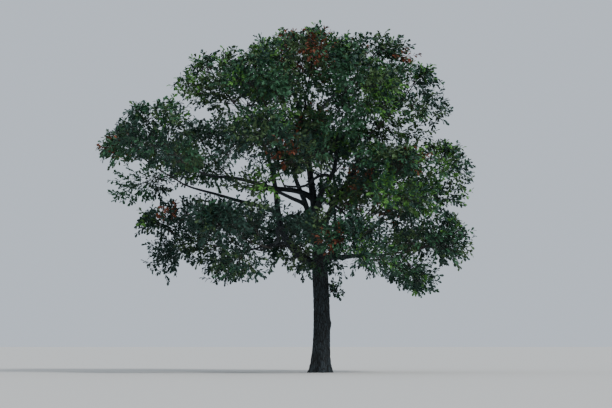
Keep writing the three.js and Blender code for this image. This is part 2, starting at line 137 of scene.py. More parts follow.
# A closed round tube along a middle line, with the directions and lengths that its bark needs to follow it.
# A first axis keeps the rings at its foot square to that, so the trunk stands on a level cut.
def limb_tube(points, radii, sides, section=None, first_axis=None):
    axes = unit(np.gradient(points, axis=0))
    if first_axis is not None:
        axes = unit(between(first_axis, axes, smooth(0, level_height, points[:, 2:])))
    normals = [square_to(axes[0], bark_start)]
    for axis in axes[1:]:
        normals.append(square_to(axis, normals[-1]))
    normals = np.array(normals)[:, None]
    angle = np.linspace(-math.pi, math.pi, sides, endpoint=False)
    outward = normals * np.cos(angle)[:, None] + np.cross(axes[:, None], normals) * np.sin(angle)[:, None]
    girth = np.repeat(radii[:, None], sides, 1)
    reach = girth * (section(angle, points[:, 2:]) if section else 1)
    run = np.concatenate([[0], np.cumsum(np.linalg.norm(np.diff(points, axis=0), axis=1))])
    grain = np.stack([girth * np.cos(angle), girth * np.sin(angle), np.repeat(run[:, None], sides, 1)], -1)
    places = (points[:, None] + outward * reach[..., None]).reshape(-1, 3)
    ends = len(places)
    around = np.arange(sides)
    foot = np.stack([np.full(sides, ends), np.roll(around, -1), around], 1)
    top = np.stack([np.full(sides, ends + 1), ends - sides + around, ends - sides + np.roll(around, -1)], 1)
    return Thing(
        places=np.concatenate([places, points[[0, -1]]]),
        faces=np.concatenate([wall_faces(len(points), sides), foot, top]),
        outward=np.concatenate([outward.reshape(-1, 3), np.zeros((2, 3))]),
        grain=np.concatenate([grain.reshape(-1, 3), grain[[0, -1], 0]]),
        girth=np.concatenate([girth.ravel(), radii[[0, -1]]]),
    )


# Several tubes as one mesh, each with its bark's pattern from another place
def joined(tubes):
    firsts = np.cumsum([0] + [len(tube.places) for tube in tubes])
    keys = "places", "outward", "girth"
    whole = {key: np.concatenate([getattr(tube, key) for tube in tubes]) for key in keys}
    shifted = [tube.grain + grain_shift * n for n, tube in enumerate(tubes)]
    faces = [tube.faces + first for tube, first in zip(tubes, firsts)]
    return Thing(**whole, grain=np.concatenate(shifted), faces=np.concatenate(faces))


# A piece of the tree from places and triangles
def piece_from(name, places, faces, smooth_faces=True):
    mesh = bpy.data.meshes.new(name)
    mesh.vertices.add(len(places))
    mesh.vertices.foreach_set("co", np.asarray(places, np.float32).ravel())
    mesh.loops.add(faces.size)
    mesh.loops.foreach_set("vertex_index", np.asarray(faces, np.int32).ravel())
    mesh.polygons.add(len(faces))
    mesh.polygons.foreach_set("loop_start", np.arange(0, faces.size, 3, dtype=np.int32))
    mesh.polygons.foreach_set("use_smooth", np.full(len(faces), smooth_faces))
    mesh.update(calc_edges=True)
    mesh.validate()
    piece = bpy.data.objects.new(name, mesh)
    bpy.context.collection.objects.link(piece)
    return piece


# Colours are sRGB hex values
def linear(code):
    values = [int(code[i : i + 2], 16) / 255 for i in (1, 3, 5)]
    return [v / 12.92 if v <= 0.04045 else ((v + 0.055) / 1.055) ** 2.4 for v in values] + [1.0]


# A node with its settings, a ramp's colours, and its inputs, given as values or as sockets to link to
def add_node(tree, kind, inputs=None, colours=(), **settings):
    node = tree.nodes.new(kind)
    for name, value in settings.items():
        setattr(node, name, value)
    for _ in colours[2:]:
        node.color_ramp.elements.new(1)
    for element, (place, code) in zip(node.color_ramp.elements if colours else (), colours):
        element.position, element.color = place, linear(code)
    for name, value in (inputs or {}).items():
        if isinstance(value, bpy.types.NodeSocket):
            tree.links.new(value, node.inputs[name])
        else:
            node.inputs[name].default_value = value
    return node


def new_material(name):
    material = bpy.data.materials.new(name)
    material.use_nodes = True
    material.node_tree.nodes.clear()
    return material, material.node_tree


# Oak bark: upright ridges about 45 mm apart on the bole, broken every 200 mm or so, with furrows 14 mm deep
# between. On the boughs the ridges are narrower and shallower, and on wood under 60 mm thick the bark is
# almost smooth. The dark crack at the bottom of a furrow is about half as wide as the furrow.
ridge_width = 0.02
width_by_girth = 0.11
ridge_stretch = 5.0
furrow_share = 0.24
crack_share = 0.13
furrow_by_girth = 0.062
ridge_waver = (1.1, 1.1, 0.5)
flake_share = 0.45
highest_ridge = 1.2
ridge_rise = 0.34
fibre_scale = (45, 45, 14)


# The pattern that the bark's relief and its colour share: cells drawn out along the grain, the ridges, with
# a furrow along every edge between two. It gives the cells and each place's height above the furrows.
def bark_pattern(tree, grain, girth, narrowest, by_girth, stretch, furrow):
    width = add_node(
        tree, "ShaderNodeMath", {0: girth, 1: by_girth, 2: narrowest}, operation="MULTIPLY_ADD"
    ).outputs[0]
    tall = add_node(tree, "ShaderNodeMath", {0: width, 1: stretch}, operation="MULTIPLY").outputs[0]
    cell = add_node(tree, "ShaderNodeCombineXYZ", {0: width, 1: width, 2: tall}).outputs[0]
    cells = add_node(tree, "ShaderNodeVectorMath", {0: grain, 1: cell}, operation="DIVIDE").outputs[0]
    waver = add_node(
        tree, "ShaderNodeTexNoise", {"Vector": cells, "Scale": 0.9, "Detail": 5.0, "Roughness": 0.62}
    ).outputs["Color"]
    wavering = add_node(
        tree, "ShaderNodeVectorMath", {0: waver, 1: ridge_waver, 2: cells}, operation="MULTIPLY_ADD"
    ).outputs[0]
    edge = add_node(
        tree, "ShaderNodeTexVoronoi", {"Vector": wavering, "Scale": 1.0}, feature="DISTANCE_TO_EDGE"
    ).outputs["Distance"]
    raised = add_node(
        tree, "ShaderNodeMapRange", {"Value": edge, "From Min": 0.0, "From Max": furrow},
        interpolation_type="SMOOTHSTEP",
    ).outputs[0]
    return cells, raised


# The ridges' tops have weathered to a dark grey, the cracks are almost black, and the whole is dull and
# rough. Fine fibres, about 4 mm wide and 14 mm long, roughen it, and its grey changes every 300 mm or so.
oak_bark, tree = new_material("weathered oak bark")
grain = add_node(tree, "ShaderNodeAttribute", attribute_name="grain").outputs["Vector"]
girth = add_node(tree, "ShaderNodeAttribute", attribute_name="girth").outputs["Fac"]
cells, raised = bark_pattern(tree, grain, girth, ridge_width, width_by_girth, ridge_stretch, crack_share)
patches = add_node(tree, "ShaderNodeTexNoise", {"Vector": grain, "Scale": 3.0, "Detail": 4.0}).outputs[0]
streaks = add_node(tree, "ShaderNodeMapping", {"Vector": grain, "Scale": fibre_scale}).outputs[0]
fibres = add_node(tree, "ShaderNodeTexNoise", {"Vector": streaks, "Detail": 6.0, "Roughness": 0.7}).outputs[0]
height = add_node(
    tree, "ShaderNodeMath", {0: raised, 1: ridge_rise, 2: fibres}, operation="MULTIPLY_ADD"
).outputs[0]
tone = add_node(
    tree, "ShaderNodeValToRGB", {"Fac": height},
    colours=((0.48, "#060809"), (0.64, "#0f1417"), (0.8, "#1e272c"), (1.0, "#48545b")),
).outputs[0]
weathered = add_node(
    tree, "ShaderNodeValToRGB", {"Fac": patches}, colours=((0.35, "#a3a19b"), (0.65, "#ffffff"))
).outputs[0]
colour = add_node(
    tree, "ShaderNodeMix", {"Factor": 0.8, 6: tone, 7: weathered}, data_type="RGBA", blend_type="MULTIPLY"
).outputs[2]
bump = add_node(tree, "ShaderNodeBump", {"Height": height, "Distance": 0.012}).outputs[0]
shader = add_node(tree, "ShaderNodeBsdfPrincipled", {"Base Color": colour, "Roughness": 0.9, "Normal": bump})
add_node(tree, "ShaderNodeOutputMaterial", {"Surface": shader.outputs[0]})

# The relief: every place sinks straight into the wood, by how far it lies below the highest ridge
relief = bpy.data.node_groups.new("furrowed bark", "GeometryNodeTree")
relief.interface.new_socket(name="Wood", in_out="INPUT", socket_type="NodeSocketGeometry")
for name, value in (
    ("Ridge width", ridge_width),
    ("Width by girth", width_by_girth),
    ("Stretch", ridge_stretch),
    ("Furrow share", furrow_share),
    ("Furrow by girth", furrow_by_girth),
):
    socket = relief.interface.new_socket(name=name, in_out="INPUT", socket_type="NodeSocketFloat")
    socket.default_value = value
relief.interface.new_socket(name="Bark", in_out="OUTPUT", socket_type="NodeSocketGeometry")
into = add_node(relief, "NodeGroupInput")
grain, outward, girth = (
    add_node(relief, "GeometryNodeInputNamedAttribute", {"Name": name}, data_type=kind).outputs[0]
    for name, kind in (("grain", "FLOAT_VECTOR"), ("outward", "FLOAT_VECTOR"), ("girth", "FLOAT"))
)
cells, raised = bark_pattern(relief, grain, girth, *into.outputs[1:5])
flaky = add_node(relief, "ShaderNodeTexNoise", {"Vector": cells, "Scale": 3.1, "Detail": 3.0}).outputs[0]
ridged = add_node(
    relief, "ShaderNodeMath", {0: flaky, 1: flake_share, 2: raised}, operation="MULTIPLY_ADD"
).outputs[0]
below = add_node(relief, "ShaderNodeMath", {0: ridged, 1: highest_ridge}, operation="SUBTRACT").outputs[0]
depth = add_node(
    relief, "ShaderNodeMath", {0: girth, 1: into.outputs["Furrow by girth"]}, operation="MULTIPLY"
).outputs[0]
sunk = add_node(relief, "ShaderNodeMath", {0: below, 1: depth}, operation="MULTIPLY").outputs[0]
offset = add_node(relief, "ShaderNodeVectorMath", {0: outward, "Scale": sunk}, operation="SCALE").outputs[0]
carved = add_node(
    relief, "GeometryNodeSetPosition", {"Geometry": into.outputs["Wood"], "Offset": offset}
).outputs[0]
whole = add_node(relief, "GeometryNodeRealizeInstances", {"Geometry": carved}).outputs[0]
barked = add_node(relief, "GeometryNodeSetMaterial", {"Geometry": whole, "Material": oak_bark}).outputs[0]
add_node(relief, "NodeGroupOutput", {"Bark": barked})


# A piece of bark: joined tubes with the relief carved into them, made a plain mesh
def bark_piece(name, tubes):
    wood = joined(tubes)
    blank = piece_from(name, wood.places, wood.faces)
    for key, kind, part in (
        ("grain", "FLOAT_VECTOR", "vector"),
        ("outward", "FLOAT_VECTOR", "vector"),
        ("girth", "FLOAT", "value"),
    ):
        stored = blank.data.attributes.new(key, kind, "POINT").data
        stored.foreach_set(part, getattr(wood, key).astype(np.float32).ravel())
    blank.modifiers.new("bark", "NODES").node_group = relief
    carved = bpy.data.meshes.new_from_object(blank.evaluated_get(bpy.context.evaluated_depsgraph_get()))
    blank.modifiers.clear()
    blank.data = carved
    carved.name = name
    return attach(blank, "root")


trunk_sides = 132
trunk_step = 0.019
heights = np.linspace(0, leader_top, round(leader_top / trunk_step))
stem = limb_tube(trunk_centre(heights), trunk_radius(heights), trunk_sides, root_section, up)
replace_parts(bark_piece("trunk_bark", [stem]), "trunk")

# Boughs: oak limbs under the same bark, each one tapering curve with a swollen collar where it leaves the
# wood that carries it. Each feeds one mass of leaves. Five are placed on the trunk, and the others take the
# shortest free way from wood that is thick enough.
slimness = 0.0165
collar = 0.3
collar_length = 1.6
bough_taper = 0.9
crook = 0.03
crook_rise = 0.3
crook_turns = (1.4, 1.1)
segment_length = 0.52
fewest_segments, most_segments = 3, 7
steep = 0.95
least_rate = 1e-9
parent_pull = 0.55
inward_pull = 0.7
lift = 0.25
straight_share = 0.33
run_weight = 0.42
turn_weight = 0.5
entry_depths = (0.82, 0.6, 0.4)
shortest_bough = 0.45
leaving_length = 0.45
sibling_space = 0.24
lowest_fork = 2.85
thinnest_parent = 0.85
thickest_child = 0.8
joint_gap = 0.0004
limb_gap = 0.006
bough_space = 0.06
bead_step = 0.03
middle_share = 0.35
crossing_cost = 0.7
mass_gap = 0.008
sink_turn = 50
most_sink = 1.6
source_drop = 1.1

# The mass each main bough feeds, the height it leaves the trunk at, its radius there, its rise in degrees
# at its start and end, and how far each end runs straight on, as a share
main_boughs = (
    ("shoulder_4", 2.7, 0.112, 25, 56, 0.36, 0.32),
    ("low_right_2", 2.92, 0.084, 16, 8, 0.35, 0.3),
    ("shoulder_3", 3.35, 0.096, 36, 60, 0.38, 0.34),
    ("shoulder_1", 3.7, 0.096, 38, 52, 0.36, 0.34),
    ("shoulder_6", 4.15, 0.084, 34, 62, 0.38, 0.34),
)
# Fans of masses round the trunk: name, count, azimuth of the middle one, step, reach, height, sink of the
# outer ones, shift to the right, half width and half height
fans = (
    ("heart", 3, -36, 89, 1.12, 4.84, -0.6, 0.19, 1.22, 1.09),
    ("top", 3, 20, 122, 1.2, 7.92, 0.02, 0.07, 1.27, 0.9),
    ("shoulder", 6, 174, 61, 2.23, 7.19, 0.2, -0.18, 1.34, 1.12),
    ("side_left", 3, 170, 42, 4.32, 5.45, -0.29, -0.18, 1.35, 1.21),
    ("side_right", 3, -3, 49, 2.36, 4.77, 0.29, 0.13, 1.58, 1.36),
    ("middle", 2, 79, 183, 2.91, 5.59, 0.09, -0.5, 1.55, 1.17),
    ("skirt", 2, 97, 170, 2.26, 3.35, 0.05, -0.44, 1.38, 0.88),
    ("low_left", 3, 183, 50, 3.29, 3.4, 0, 0, 1.5, 1.13),
    ("low_right", 3, -20, 56, 2.71, 3.18, 0.12, 0.04, 1.24, 1.15),
)
crest = Thing(x=-0.42, height=8.12, across=1.0, deep=0.8)
tuft = Thing(x=0.33, height=2.08, start=1.99, rooted_in=0.012, across=0.17, deep=0.19)
hash_start, first_mix, second_mix = np.uint64([2166136261, 2654435761, 2246822507])
low_bits = np.uint64(2**32 - 1)


# A number from 0 to 1 that belongs to the thing that the marks name, a 32-bit hash of them. Where a thing
# has several such numbers, one of the marks counts them
def chance(*marks):
    h = hash_start
    for mark in marks:
        h = ((h ^ np.asarray(mark, np.uint64)) * first_mix) & low_bits
        h = ((h ^ (h >> np.uint64(15))) * second_mix) & low_bits
        h = h ^ (h >> np.uint64(13))
    return h / 2**32


def heading(azimuth, rise):
    return np.array([math.cos(azimuth) * math.cos(rise), math.sin(azimuth) * math.cos(rise), math.sin(rise)])


# The direction that leaves an axis at an angle, turned round it from the upward side
def leaning(axis, angle, turn):
    side = square_to(axis, np.where(np.abs(axis[..., 2:]) > steep, right, up))
    angle, turn = np.asarray(angle)[..., None], np.asarray(turn)[..., None]
    turned = side * np.cos(turn) + np.cross(axis, side) * np.sin(turn)
    return axis * np.cos(angle) + turned * np.sin(angle)


def limb_from(name, points, radii, first_run):
    runs = first_run + np.concatenate([[0], np.cumsum(np.linalg.norm(np.diff(points, axis=0), axis=1))])
    return Thing(name=name, points=points, radii=radii, runs=runs, forks=[])


# A bough is one cubic curve with a slight crook. Its line gives points and radii at shares of its length
def make_bough(mass, start, end, out, into, reach_out, reach_in, root_radius, first_run):
    span = np.linalg.norm(end - start)
    handles = (start, start + out * span * reach_out, end - into * span * reach_in, end)
    along = unit(end - start)
    sideways = square_to(along, np.array([along[1], -along[0], crook_rise]))
    upwards = np.cross(along, sideways)

    def line(t):
        t = t[:, None]
        weights = ((1 - t) ** 3, 3 * t * (1 - t) ** 2, 3 * t * t * (1 - t), t**3)
        swing = span * crook * np.sin(math.pi * t)
        points = sum(w * handle for w, handle in zip(weights, handles))
        points = points + sideways * swing * np.sin(2 * math.pi * (crook_turns[0] * t + chance(mass.mark, 1)))
        points = points + upwards * swing * np.sin(2 * math.pi * (crook_turns[1] * t + chance(mass.mark, 2)))
        swell = 1 + collar * np.exp(-t * span / (collar_length * root_radius))
        return points, ((tip_radius + (root_radius - tip_radius) * (1 - t) ** bough_taper) * swell)[:, 0]

    steps = max(fewest_segments, min(most_segments, math.floor(span / segment_length + 0.5)))
    bough = limb_from(f"bough_{mass.name}", *line(np.linspace(0, 1, steps + 1)), first_run)
    bough.line, bough.span = line, span
    return bough


def support_of(mass, direction):
    return np.linalg.norm(direction * [mass.across, mass.across, mass.deep])


# A mass's space is its ellipsoid, cut by a plane wherever it would run into a neighbour's
def share_space(masses):
    for i, a in enumerate(masses):
        for b in masses[i + 1 :]:
            apart = np.linalg.norm(b.centre - a.centre)
            towards = (b.centre - a.centre) / apart
            reach_a, reach_b = support_of(a, towards), support_of(b, towards)
            if apart > reach_a + reach_b + 2 * mass_gap:
                continue
            wall = a.centre @ towards + apart * reach_a / (reach_a + reach_b)
            a.walls.append((towards, wall - mass_gap))
            b.walls.append((-towards, -wall - mass_gap))


def depth_in(mass, points):
    off = (points - mass.centre) / [mass.across, mass.across, mass.deep]
    return dot(off, off)


def inside_space(mass, points, ease=0.0):
    inside = depth_in(mass, points) < (1 + ease / mass.deep) ** 2
    for normal, limit in mass.walls:
        inside &= points @ normal < limit + ease
    return inside


# How far a straight line from a point inside a mass's space runs before it leaves
def room_ahead(mass, start, direction):
    scale = np.array([1 / mass.across, 1 / mass.across, 1 / mass.deep])
    p, d = (start - mass.centre) * scale, direction * scale
    a, b, c = dot(d, d), dot(p, d), dot(p, p) - 1
    root = b * b - a * c
    room = np.where(root > 0, (-b + np.sqrt(np.maximum(root, 0))) / a, 0)
    for normal, limit in mass.walls:
        rate = direction @ normal
        ahead = (limit - start @ normal) / np.where(rate > least_rate, rate, 1)
        room = np.where(rate > least_rate, np.minimum(room, ahead), room)
    return np.maximum(room, 0)


def make_masses():
    masses = []

    def add(name, x, y, z, across, deep):
        centre = np.array([x, y, z], float)
        own = Thing(name=name, mark=len(masses) + 1, centre=centre, across=across, deep=deep)
        own.walls, own.bough = [], None
        masses.append(own)

    for name, count, middle, step, reach, height, sink, shift, across, deep in fans:
        for i in range(count):
            turn = (i - count // 2) * step
            azimuth = math.radians(middle + turn)
            x, y = shift + reach * math.cos(azimuth), reach * math.sin(azimuth)
            add(f"{name}_{i + 1}", x, y, height - sink * min(abs(turn) / sink_turn, most_sink), across, deep)
    add("crest", crest.x, 0, crest.height, crest.across, crest.deep)
    add("tuft", tuft.x, 0, tuft.height, tuft.across, tuft.deep)
    share_space(masses)
    return masses


# Where a bough enters a mass: on the side that faces the tree's heart, from a little below
def entry_of(mass, depth):
    flat = math.hypot(mass.centre[0], mass.centre[1])
    source = trunk_centre(min(max(fork_height, mass.centre[2] - source_drop * flat), leader_top))
    inward = unit(source - mass.centre)
    return mass.centre + inward * depth * room_ahead(mass, mass.centre, inward), inward


# The least room between each point and the bark of any limb
def clear_of(limbs, points):
    a = np.concatenate([limb.points[:-1] for limb in limbs])
    b = np.concatenate([limb.points[1:] for limb in limbs])
    thick = np.concatenate([np.maximum(limb.radii[:-1], limb.radii[1:]) for limb in limbs])
    share = np.clip(dot(points[:, None] - a, b - a) / dot(b - a, b - a), 0, 1)
    nearest = a + (b - a) * share[..., None]
    return (np.linalg.norm(points[:, None] - nearest, axis=-1) - thick).min(1)


# Places on the limbs from which wood could reach a point, the shortest run with the easiest turn first
def forks_for(limbs, point):
    found = []
    for limb in limbs:
        for i in range(1, len(limb.points) - 1):
            axis = unit(limb.points[i + 1] - limb.points[i])
            for share in (0, 1 / 3, 2 / 3):
                at = between(limb.points[i], limb.points[i + 1], share)
                radius = between(limb.radii[i], limb.radii[i + 1], share)
                run = between(limb.runs[i], limb.runs[i + 1], share)
                taken = any(np.linalg.norm(fork - at) < sibling_space for fork in limb.forks)
                span = np.linalg.norm(point - at)
                wanted = tip_radius + slimness * span
                if taken or span < shortest_bough or at[2] < lowest_fork or radius < thinnest_parent * wanted:
                    continue
                cost = span * (1 + turn_weight * (1 - axis @ (point - at) / span)) + run_weight * run
                root_radius = min(wanted, radius * thickest_child)
                found.append(Thing(cost=cost, limb=limb, at=at, axis=axis, run=run, root_radius=root_radius))
    return sorted(found, key=lambda fork: fork.cost)


# A bough keeps off every other limb, and off its parent once it has left it
def bough_is_free(bough, parent, limbs):
    shares = np.array([0, 0.25, 0.5, 0.75])[:, None]
    points = np.concatenate([a + (b - a) * shares for a, b in zip(bough.points[:-1], bough.points[1:])])
    need = np.repeat(bough.radii[:-1], len(shares)) + bough_space
    off_parent = clear_of([parent], points)
    left = np.linalg.norm(points - bough.points[0], axis=1) > leaving_length
    others = [limb for limb in limbs if limb is not parent]
    hits = (off_parent > 0) & (clear_of(others, points) < need) if others else np.zeros(len(points), bool)
    return not (hits | (left & (off_parent < need))).any()


def crossings(bough, own, masses):
    return sum((depth_in(mass, bough.points) < middle_share).any() for mass in masses if mass is not own)


# The cheapest free bough that reaches into a mass, or nothing
def best_bough(mass, depth, limbs, masses):
    point, inward = entry_of(mass, depth)
    best = None
    for fork in forks_for(limbs, point):
        if best and fork.cost > best[0]:
            break
        towards = unit(point - fork.at)
        out, into = unit(fork.axis * parent_pull + towards), unit(towards - inward * inward_pull + up * lift)
        ends = fork.root_radius, fork.run
        bough = make_bough(mass, fork.at, point, out, into, straight_share, straight_share, *ends)
        if not bough_is_free(bough, fork.limb, limbs):
            continue
        cost = fork.cost + crossing_cost * crossings(bough, mass, masses)
        if not best or cost < best[0]:
            best = cost, bough, fork.limb
    return best


def make_boughs(trunk, masses):
    limbs = [trunk]

    def keep(bough, parent, mass):
        parent.forks.append(bough.points[0])
        mass.bough = bough
        limbs.append(bough)

    for feeds, height, radius, rise_out, rise_in, run_out, run_in in main_boughs:
        mass = next(m for m in masses if m.name == feeds)
        start, (point, _) = trunk_centre(height), entry_of(mass, entry_depths[0])
        azimuth = math.atan2(point[1] - start[1], point[0] - start[0])
        out, into = heading(azimuth, math.radians(rise_out)), heading(azimuth, math.radians(rise_in))
        keep(make_bough(mass, start, point, out, into, run_out, run_in, radius, height), trunk, mass)
    waiting = [m for m in masses if not m.bough and m.name not in ("crest", "tuft")]
    for mass in sorted(waiting, key=lambda m: np.linalg.norm(m.centre - trunk_centre(fork_height))):
        found = next(filter(None, (best_bough(mass, depth, limbs, masses) for depth in entry_depths)))
        keep(found[1], found[2], mass)
    for mass in masses:
        fed = mass.bough or trunk
        mass.aim = unit(fed.points[-1] - fed.points[-2])
        mass.start = fed.points[-1] + mass.aim * joint_gap
        if mass.name == "tuft":
            mass.aim = unit(right + up * lift)
            mass.start = trunk_centre(tuft.start) + mass.aim * (trunk_radius(tuft.start) - tuft.rooted_in)
    return limbs


trunk_heights = np.array([0, 0.13, 0.33, 0.65, 1.25, 2.0, 2.7, 3.05, 3.5, 4.2, 5.0, 5.8, 6.6, leader_top])
trunk = limb_from("trunk", trunk_centre(trunk_heights), trunk_radius(trunk_heights), 0)
masses = make_masses()
limbs = make_boughs(trunk, masses)

bough_step = 0.034
main_radius = 0.09
thick_sides, thin_sides = 44, 26
for name, wanted in (("main_boughs", True), ("lesser_boughs", False)):
    chosen = [limb for limb in limbs[1:] if (limb.radii[0] > main_radius) == wanted]
    sides = thick_sides if wanted else thin_sides
    shares = [np.linspace(0, 1, math.ceil(limb.span / bough_step)) for limb in chosen]
    piece = bark_piece(f"{name}_bark", [limb_tube(*limb.line(t), sides) for limb, t in zip(chosen, shares)])
    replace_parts(piece, *[limb.name for limb in chosen])

# Branches and twigs: the wood inside a mass of leaves, young and still smooth. A stem runs on from the
# bough's tip, branches leave it by the golden angle, and twigs stand on both sides of each branch.
golden_angle = math.radians(137.5)
full_size = 1.1
stem_neck = 0.03
stem_reach = 0.72
stem_stop = 0.02
stem_girths = np.array([1, 0.97, 0.8, 0.62])
branches_per_mass = 6
branch_places = (0.12, 0.9)
branch_root = 0.025
branch_angles = (1.35, 0.75)
branch_spread = 0.3
last_angle = 0.2
branch_lift = 0.1
branch_reach = 0.36
longest_branch = 0.9
shortest_branch = 0.12
branch_girths = np.array([0.52, 0.44])
twigs_per_branch = 7
first_twig = 0.3
blade_root = 0.006
twig_angle = 0.85
twig_spread = 0.35
end_twig_angle = 0.1
twig_swing = 1.1
twig_room = 0.01
twig_reach = 0.97
longest_twig = 1.15
least_twig = 0.75
shortest_twig = 0.26
twig_crook = 0.035
twig_root, twig_end = 0.0085, 0.003
stem_rings, stem_sides = 19, 10
branch_rings, branch_sides = 5, 7
twig_rings, twig_sides = 5, 5


# A limb as a row of beads, close enough together to measure room against
def beads_of(limb):
    centres, radii = [], []
    for i in range(1, len(limb.points)):
        a, b = limb.points[i - 1], limb.points[i]
        count = math.ceil(np.linalg.norm(b - a) / bead_step)
        shares = (np.arange(count) + 0.5) / count
        centres.append(a + (b - a) * shares[:, None])
        radii.append(between(limb.radii[i - 1], limb.radii[i], shares))
    return np.concatenate(centres), np.concatenate(radii)


# How far a shoot can run from a point inside a mass before it leaves the space or touches a limb
def reach_ahead(mass, start, direction, thickness):
    centres, radii = mass.beads
    offset = centres - start[..., None, :]
    along = dot(offset, direction[..., None, :])
    spare = (radii + thickness + limb_gap) ** 2 - (dot(offset, offset) - along**2)
    touch = np.where((along > 0) & (spare > 0), along - np.sqrt(np.maximum(spare, 0)), np.inf)
    return np.maximum(np.minimum(room_ahead(mass, start, direction), touch.min(-1, initial=np.inf)), 0)


# The stem, branches and twigs of a mass. What would leave its space or touch a limb is cut short or skipped
def grow_mass(mass):
    start, aim = mass.start, mass.aim
    size = min(mass.across / full_size, 1)
    stem_radius = tip_radius * size
    neck = start + aim * stem_neck
    across = unit(mass.centre - neck)
    free = reach_ahead(mass, neck, across, stem_radius) - stem_stop
    to_heart = min(np.linalg.norm(mass.centre - neck), free)
    heart = neck + across * to_heart
    ahead = unit(across + up * lift)
    end = heart + ahead * stem_reach * reach_ahead(mass, heart, ahead, stem_radius)
    whole = to_heart + np.linalg.norm(end - heart)
    bend = to_heart / whole
    branches, twigs = [], []
    for k in range(branches_per_mass):
        last = k == branches_per_mass - 1
        t = 1 - branch_root / whole if last else between(*branch_places, k / (branches_per_mass - 2))
        root = between(neck, heart, t / bend) if t < bend else between(heart, end, (t - bend) / (1 - bend))
        axis = across if t < bend else ahead
        turn = k * golden_angle + 2 * math.pi * chance(mass.mark, 3)
        opened = between(*branch_angles, t) + branch_spread * (chance(mass.mark, 4, k) - 0.5)
        out = unit(leaning(axis, last_angle if last else opened, turn) + up * branch_lift)
        room = reach_ahead(mass, root, out, stem_radius * branch_girths[0])
        length = min(branch_reach * room, longest_branch)
        if length < shortest_branch * size:
            continue
        far = root + out * length
        branches.append((np.array([root, far]), branch_girths * stem_radius))
        j = np.arange(twigs_per_branch)
        share = between(first_twig, 1 - blade_root / length, j / (twigs_per_branch - 1))
        foot = between(root, far, share[:, None])
        turn = np.where(j % 2, 0.5, 1.5) * math.pi + twig_swing * (chance(mass.mark, 6, k, j) - 0.5)
        opened = twig_angle + twig_spread * (chance(mass.mark, 7, k, j) - 0.5)
        angle = np.where(j == twigs_per_branch - 1, end_twig_angle, opened)
        direction = leaning(np.broadcast_to(out, foot.shape), angle, turn)
        room = twig_reach * reach_ahead(mass, foot, direction, twig_room)
        length = np.minimum(room, longest_twig * size * between(least_twig, 1, chance(mass.mark, 8, k, j)))
        for n in np.flatnonzero(length > shortest_twig * size):
            mark = mass.mark, k, int(n)
            twigs.append(Thing(mass=mass, foot=foot[n], along=direction[n], length=length[n], mark=mark))
    stem = np.array([start, neck, heart, end]), stem_girths * stem_radius
    return stem, branches, twigs


all_centres, all_radii = (np.concatenate(rows) for rows in zip(*map(beads_of, limbs)))
for mass in masses:
    near = np.linalg.norm(all_centres - mass.centre, axis=1) < mass.across + all_radii + bead_step
    mass.beads = all_centres[near], all_radii[near]
grown = [grow_mass(mass) for mass in masses]


# A smooth line through the points of a polyline
def eased(points, radii, count):
    t = np.linspace(0, len(points) - 1, count)
    i = np.minimum(t.astype(int), len(points) - 2)
    s = (t - i)[:, None]
    padded = np.concatenate([2 * points[:1] - points[1:2], points, 2 * points[-1:] - points[-2:-1]])
    a, b, c, d = (padded[i + n] for n in range(4))
    line = 0.5 * (2 * b + (c - a) * s + (2 * a - 5 * b + 4 * c - d) * s**2 + (3 * b - a - 3 * c + d) * s**3)
    return line, np.interp(t, np.arange(len(radii)), radii)


# Closed tubes along many short middle lines at once
def twig_tubes(lines, radii, sides):
    count, steps = radii.shape
    axis = unit(lines[:, -1] - lines[:, 0])
    side = square_to(axis, np.where(np.abs(axis[:, 2:]) > steep, right, up))
    angle = np.linspace(0, 2 * math.pi, sides, endpoint=False)[:, None]
    ring = side[:, None] * np.cos(angle) + np.cross(axis, side)[:, None] * np.sin(angle)
    places = lines[:, :, None] + radii[:, :, None, None] * ring[:, None]
    fan = np.arange(1, sides - 1)
    foot = np.stack([0 * fan, fan + 1, fan], 1)
    top = np.stack([0 * fan, fan, fan + 1], 1) + (steps - 1) * sides
    faces = np.concatenate([wall_faces(steps, sides), foot, top])
    firsts = np.arange(count) * steps * sides
    return places.reshape(-1, 3), (faces + firsts[:, None, None]).reshape(-1, 3)


# Young oak wood is smoother and browner than the old bark, with pale specks that show from close by
twig_wood, tree = new_material("young oak twigs")
place = add_node(tree, "ShaderNodeTexCoord").outputs["Object"]
specks = add_node(tree, "ShaderNodeTexNoise", {"Vector": place, "Scale": 90.0, "Detail": 3.0}).outputs[0]
tone = add_node(
    tree, "ShaderNodeValToRGB", {"Fac": specks},
    colours=((0.3, "#211e1c"), (0.62, "#342f2a"), (0.8, "#4a443b")),
).outputs[0]
bump = add_node(tree, "ShaderNodeBump", {"Height": specks, "Strength": 0.4, "Distance": 0.002}).outputs[0]
shader = add_node(tree, "ShaderNodeBsdfPrincipled", {"Base Color": tone, "Roughness": 0.75, "Normal": bump})
add_node(tree, "ShaderNodeOutputMaterial", {"Surface": shader.outputs[0]})


def twig_piece(name, places, faces):
    piece = piece_from(name, places, faces)
    piece.data.materials.append(twig_wood)
    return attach(piece, "root")


mass_nodes = [f"leaves_{mass.name}" for mass in masses]
inner = [limb_tube(*eased(*stem, stem_rings), stem_sides) for stem, _, _ in grown]
for _, branches, _ in grown:
    inner += [limb_tube(*eased(*branch, branch_rings), branch_sides) for branch in branches]
inner = joined(inner)
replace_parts(twig_piece("branches", inner.places, inner.faces), *mass_nodes)

# Every twig bends a little to one side, and its fine twigs start on the bent line
twigs = [twig for _, _, own in grown for twig in own]
marks = np.array([twig.mark for twig in twigs]).T
foot = np.array([twig.foot for twig in twigs])
along = np.array([twig.along for twig in twigs])
length = np.array([twig.length for twig in twigs])
sideways = leaning(along, math.pi / 2, 2 * math.pi * chance(*marks, 10))


def on_twig(share):
    bent = twig_crook * np.sin(math.pi * share)
    course = along[:, None] * share[..., None] + sideways[:, None] * bent[..., None]
    return foot[:, None] + course * length[:, None, None]


